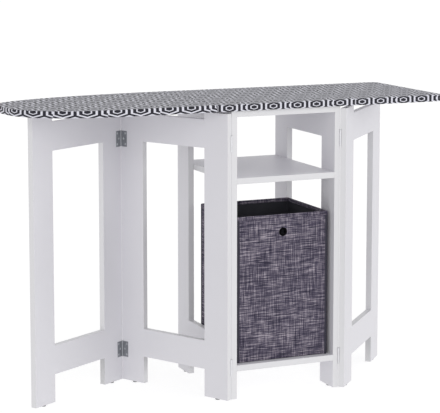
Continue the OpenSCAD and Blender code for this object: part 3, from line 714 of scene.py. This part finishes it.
fold_drop = 0.0105
fold_thick = 0.0008
fold_shoulder, fold_crown = 0.0018, 0.0026
fold_steps = 12
fold_corner_least = 0.001
fold_middle = lining_inset / 2
fold_half = fold_middle + fold_thick
fold_foot = basket_high.z - fold_drop
# The rim's fold: its outer leaf from its foot up, as inset and height, the round over the rim, and its
# inner leaf, the outer one's mirror image
outer_leaf = [(-0.0001, 0.0), (-0.0006, 0.0001), (-0.0008, 0.0008), (-0.0005, 0.0020), (-0.0009, 0.0034),
              (-0.0008, 0.0065)]
over = [(fold_middle - fold_half * math.cos(a), fold_drop - fold_shoulder + fold_crown * math.sin(a))
        for a in np.linspace(0, np.pi, fold_steps)]
inner_leaf = [(2 * fold_middle - inset, z) for inset, z in reversed(outer_leaf)]
fold_rows = [(inset, max(basket_corner - inset, fold_corner_least), fold_foot + z)
             for inset, z in outer_leaf + over + inner_leaf]
fold = basket_piece("basket_rim_fold", melange, fold_rows, swell=0.0)
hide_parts("basket_binding")

rib_turns = 5200
tape_cloth, nodes = new_material("tape_cloth")
place = nodes.node("ShaderNodeTexCoord", output="Object")
ribs = (nodes.node("ShaderNodeSeparateXYZ", None, {0: place}).other("Z") * rib_turns).math("SINE")
fuzz = noise(nodes, place, 500, 3)
tape_colour = blend(nodes, fuzz, (0.014, 0.013, 0.023, 1), (0.050, 0.047, 0.070, 1))
finish(nodes, tape_colour, 0.9, {"Normal": relief(nodes, 0.4, 0.0002, ribs * 0.4 + fuzz)})


def through_rings(rings):
    """Vertices and faces of a solid through rings of points, with flat ends."""
    count, last = len(rings[0]), (len(rings) - 1) * len(rings[0])
    near, far = np.arange(count), np.roll(np.arange(count), -1)
    sides = np.concatenate([np.stack([near, far, far + count, near + count], 1) + i * count
                            for i in range(len(rings) - 1)])
    ends = [list(range(count))[::-1], list(range(last, last + count))]
    return np.concatenate(rings), sides.tolist() + ends


def tube(path, radius, sides):
    """A round tube along points: each ring lies across the path, turned from the last ring by no more
    than the path turns. No path may start along aslant."""
    ahead = np.gradient(path, axis=0)
    ahead /= np.linalg.norm(ahead, axis=1)[:, None]
    side = np.cross(ahead[0], aslant)
    turn = np.arange(sides) * 2 * np.pi / sides
    rings = []
    for centre, forward in zip(path, ahead):
        side = side - forward * (side @ forward)
        side = side / np.linalg.norm(side)
        up = np.cross(forward, side)
        rings.append(centre + radius * (np.outer(np.cos(turn), side) + np.outer(np.sin(turn), up)))
    return through_rings(rings)


def joined(name, shapes, material, body):
    """One object from several lists of vertices and faces."""
    points, faces = [], []
    for vertices, shape_faces in shapes:
        start = sum(len(p) for p in points)
        points.append(vertices)
        faces += [[start + i for i in face] for face in shape_faces]
    mesh = bpy.data.meshes.new(name)
    mesh.from_pydata(np.concatenate(points), [], faces)
    mesh.shade_smooth()
    mesh.set_sharp_from_angle(angle=crisp_angle)
    mesh.materials.append(material)
    made = bpy.data.objects.new(name, mesh)
    bpy.context.scene.collection.objects.link(made)
    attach(made, body)
    return made


tape_reach = 0.0045
tape_stand = 0.0007
tape_sink = 0.0004
tape_foot, tape_top = basket_low.z + 0.0004, fold_foot + 0.0006
tape_across, tape_along = 15, 40
# The points of the basket's ring before and after a corner's middle that a tape follows
ring_before, ring_after = 12, 14


def corner_tape(corner):
    """A ribbon laid round one upright corner of the basket: a closed section, whose outer side stands out by
    the square root of 1 less the sixth power of the place across, and whose inner side lies under the
    cloth."""
    ring, outward, _, _ = basket_ring(0, basket_corner)
    side_points = len(side_places) + len(corner_turns)
    mark = len(side_places) + (len(corner_turns) - 1) // 2 + corner * side_points
    near_corner = np.arange(mark - ring_before, mark + ring_after) % len(ring)
    points, out = ring[near_corner], outward[near_corner]
    way = way_along(points)
    across = np.linspace(-1, 1, tape_across)
    places = way[ring_before] + across * (tape_reach + basket_corner * np.pi / 4)
    line_xy = np.stack([np.interp(places, way, points[:, axis]) for axis in (0, 1)], 1)
    normal = np.stack([np.interp(places, way, out[:, axis]) for axis in (0, 1)], 1)
    crown = (tape_stand * (1 - across ** 6) ** 0.5)[:, None]
    section = np.concatenate([line_xy + normal * crown, (line_xy - normal * tape_sink)[::-1]])
    return through_rings([np.column_stack([section, np.full(len(section), z)])
                          for z in np.linspace(tape_foot, tape_top, tape_along)])


tapes = joined("basket_corner_tapes", [corner_tape(corner) for corner in range(4)], tape_cloth, "basket")

# A direction that no stitch follows
aslant = (0.3, 0.5, 0.8)
stitch_step = 0.004
stitch_long = 0.0026
stitch_radius = 0.00028
stitch_sides = 6
stitch_height = fold_foot + 0.0020
stitch_stand = 0.0006
stitch_bow = np.array([0.0, 0.00014, 0.00014, 0.0])
path, outward, _, _ = basket_ring(-stitch_stand, basket_corner)
round_path, round_outward = np.concatenate([path, path[:1]]), np.concatenate([outward, outward[:1]])
way_round = way_along(round_path)
stitches = []
for start in np.arange(0, way_round[-1] - stitch_long, stitch_step):
    ways = np.linspace(start, start + stitch_long, len(stitch_bow))
    xy = [np.interp(ways, way_round, round_path[:, axis])
          + np.interp(ways, way_round, round_outward[:, axis]) * stitch_bow for axis in (0, 1)]
    stitches.append(tube(np.stack([*xy, np.full(len(ways), stitch_height)], 1), stitch_radius, stitch_sides))
thread = joined("basket_rim_stitches", stitches, tape_cloth, "basket")

# ---- Basket lining ----
# Thin dark plain-woven cloth inside the basket. It lies loose over the boards of the floor and the walls
# and is caught under the rim's fold.
lining_fillet = 0.004
lining_corner = 0.003
lining_lift = 0.0008
lining_drop = 0.004
lining_swell = -0.6
lining_turns = 6200
lining_cloth, nodes = new_material("lining_cloth")
cloth_map = nodes.node("ShaderNodeUVMap", {"uv_map": "cloth"})
way = nodes.node("ShaderNodeSeparateXYZ", None, {0: cloth_map})
weave = (way * lining_turns).math("SINE") * (way.other("Y") * lining_turns).math("SINE")
shade = noise(nodes, cloth_map, 30, 4)
lining_colour = blend(nodes, shade, (0.017, 0.017, 0.024, 1), (0.034, 0.034, 0.044, 1))
finish(nodes, lining_colour, 0.84, {"Normal": relief(nodes, 0.4, 0.0002, weave * 0.3 + shade)})

lining_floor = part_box("basket_base_board")[1].z + lining_lift
lining_rows = [(half_depth, 0, lining_floor), (0.07, 0, lining_floor), (0.02, least_corner, lining_floor)]
lining_rows += round_foot(lining_inset, lining_corner, lining_floor, lining_fillet, least_corner)
lining_rows += [(lining_inset, lining_corner, z) for z in wall_heights
                if lining_floor + lining_fillet <= z < basket_high.z - lining_drop]
lining = basket_piece("basket_inner_lining", lining_cloth, lining_rows, swell=lining_swell, hole=cloth_hole)
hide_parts("basket_lining")

# ---- Eyelet ----
# A black lacquered metal eyelet in the basket's front, for a finger. Its two turned flanges hold the
# cloth, the board and the lining between them, and a barrel joins them through the hole.
eyelet_hole = 0.0070
barrel = 0.0082
barrel_gap = 0.0003
back_stand = 0.0006
flange = (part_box("basket_eyelet")[1].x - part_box("basket_eyelet")[0].x) / 2
eyelet_sides = 64
eyelet_crisp = math.radians(55)
# A flange's section from the hole outwards: radius, and how far it stands out from the wall
crown = [(eyelet_hole, 0.0002), (eyelet_hole + 0.0004, 0.0008), (eyelet_hole + 0.0016, 0.0012),
         (flange - 0.0018, 0.0010), (flange - 0.0002, 0.0003), (flange, -0.0003)]

black_metal, nodes = new_material("black_metal")
place = nodes.node("ShaderNodeTexCoord", output="Object")
worn = noise(nodes, place, 260, 5)
finish(nodes, (0.0015, 0.0015, 0.002, 1), 0.42 + worn * 0.25, {"Specular IOR Level": 0.03})

height_share = (eyelet_z - basket_low.z) / (basket_high.z - basket_low.z)
front_swell = float(wall_swell(np.array([height_share]), np.array([0]), np.array([0.0]))[0])
profile = [(r, -front_swell - out) for r, out in crown]
profile += [(barrel, barrel_gap), (barrel, lining_inset - barrel_gap)]
profile += [(r, lining_inset + back_stand + out) for r, out in reversed(crown)]
radii, depths = np.array(profile).T
turns = np.linspace(0, 2 * np.pi, eyelet_sides, endpoint=False)
eyelet_points = np.stack([
    eyelet_x + np.outer(radii, np.cos(turns)), basket_low.y + np.repeat(depths[:, None], eyelet_sides, 1),
    eyelet_z + np.outer(radii, np.sin(turns))], 2)
loop = np.concatenate([eyelet_points, eyelet_points[:1]])
eyelet = grid_piece("basket_black_eyelet", loop, corners(wrapped(np.zeros((*loop.shape[:2], 2)))))
eyelet.data.set_sharp_from_angle(angle=eyelet_crisp)
eyelet.data.materials.append(black_metal)
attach(eyelet, "basket")
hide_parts("basket_eyelet")

# ---- Cores ----
# The stiff boards inside the basket's cloth are plain wood fibre board. The ironing board's three cores
# are coated chipboard like the cabinet, and show underneath.
fibre, nodes = new_material("fibreboard")
place = nodes.node("ShaderNodeTexCoord", output="Object")
chips = noise(nodes, place, 330, 6, roughness=0.75)
cloudy = noise(nodes, place, 9, 2)
fibre_colour = blend(nodes, chips * 0.7 + cloudy * 0.3, (0.30, 0.19, 0.10, 1), (0.56, 0.40, 0.24, 1))
finish(nodes, fibre_colour, 0.78, {"Normal": relief(nodes, 0.3, 0.0004, chips)})


def give(material, names):
    """Gives a material to CAD nodes whose shape stays as it is."""
    for name in names:
        for slot in frame["nodes"][name].material_slots:
            slot.material = material


give(fibre, ("basket_stiffeners", "basket_base_board"))
give(white_board, ("centre_board", "left_flap_board", "right_flap_board"))

# ---- Hinges ----
# Butt hinges of plated steel: folded leaves with rolled knuckles, and loose pins with round heads. The
# fold's hinges are darker than the others.


def plated(name, dark, light):
    """A cloudy metal plating between two colours, scuffed by handling."""
    made, nodes = new_material(name)
    place = nodes.node("ShaderNodeTexCoord", output="Object")
    plating = noise(nodes, place, 90, 5, roughness=0.7)
    scuffs = noise(nodes, place, 900, 2)
    finish(nodes, blend(nodes, plating, dark, light), 0.34 + plating * 0.22, {
        "Metallic": 0.9, "Normal": relief(nodes, 0.15, 0.0001, scuffs)})
    return made


leaves = [name for name in frame["nodes"] if name.endswith("_leaves")]
give(plated("hinge_steel", (0.64, 0.64, 0.66, 1), (0.82, 0.82, 0.85, 1)),
     [name for name in leaves if not name.startswith("fold_")])
give(plated("fold_hinge_steel", (0.22, 0.23, 0.25, 1), (0.44, 0.45, 0.48, 1)),
     [name for name in leaves if name.startswith("fold_")])

# ---- Small metal parts ----
# The hinges' loose pins and countersunk cross-slot screws of zinc-plated steel, the bolts that are
# screwed into the side frames, and the zinc cam locks in the panels' undersides that hold the bolts.
zinc, nodes = new_material("zinc")
place = nodes.node("ShaderNodeTexCoord", output="Object")
passivated = noise(nodes, place, 150, 4)
zinc_colour = blend(nodes, passivated, (0.56, 0.57, 0.58, 1), (0.72, 0.73, 0.76, 1))
finish(nodes, zinc_colour, 0.28 + passivated * 0.2, {"Metallic": 1.0})
give(zinc, [name for name in frame["nodes"] if name.endswith(("_pins", "_screws", "_bolts", "_locks"))])

# ---- Dowels ----
# Turned beech dowels, glued into the panels' ends. They keep the panels in line with the side frames
# and are hidden once the cabinet stands.
beech, nodes = new_material("beech")
place = nodes.node("ShaderNodeTexCoord", output="Object")
fleck = noise(nodes, place, 400, 3)
finish(nodes, blend(nodes, fleck, (0.52, 0.33, 0.17, 1), (0.68, 0.47, 0.27, 1)), 0.6)
give(beech, ["dowels"])

# ---- Glides ----
# Round glides of grey plastic, nailed under the feet of the side frames and the gates, on which the
# gates swing over the floor.
glide_plastic, nodes = new_material("glide_plastic")
place = nodes.node("ShaderNodeTexCoord", output="Object")
scratch = noise(nodes, place, 500, 4)
finish(nodes, (0.20, 0.20, 0.21, 1), 0.42 + scratch * 0.2)
give(glide_plastic, [name for name in frame["nodes"] if name.endswith("_glides")])
